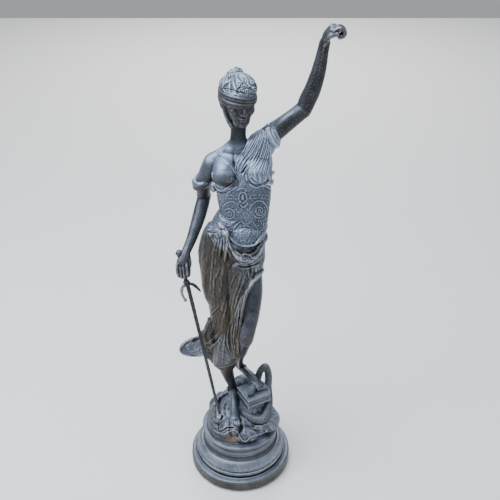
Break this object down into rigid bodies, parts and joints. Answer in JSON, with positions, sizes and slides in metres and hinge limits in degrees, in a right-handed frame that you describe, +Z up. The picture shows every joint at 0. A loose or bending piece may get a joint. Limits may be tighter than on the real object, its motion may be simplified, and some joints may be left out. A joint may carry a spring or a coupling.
{
  "type": "lady justice statue",
  "caption": "Standing draped bronze woman, blindfolded, one arm raised and the other holding a sword point down, on a rocky base with book and snake and a round stepped plinth.",
  "frame": {"origin": "centre of the plinth's underside, on the floor", "axes": "+Z up, the figure faces -Y, her raised left arm is on the +X side"},
  "size_m": [0.3821, 0.274, 1.2061],
  "materials": {
    "figure_bronze": "dark brown patina, rubbed lighter on raised edges",
    "sword_bronze": "dark grey patina",
    "plinth_bronze": "grey brown patina"
  },
  "bodies": {
    "root": {"figure": "figure_bronze", "sword": "sword_bronze", "plinth": "plinth_bronze"}
  },
  "joints": []
}
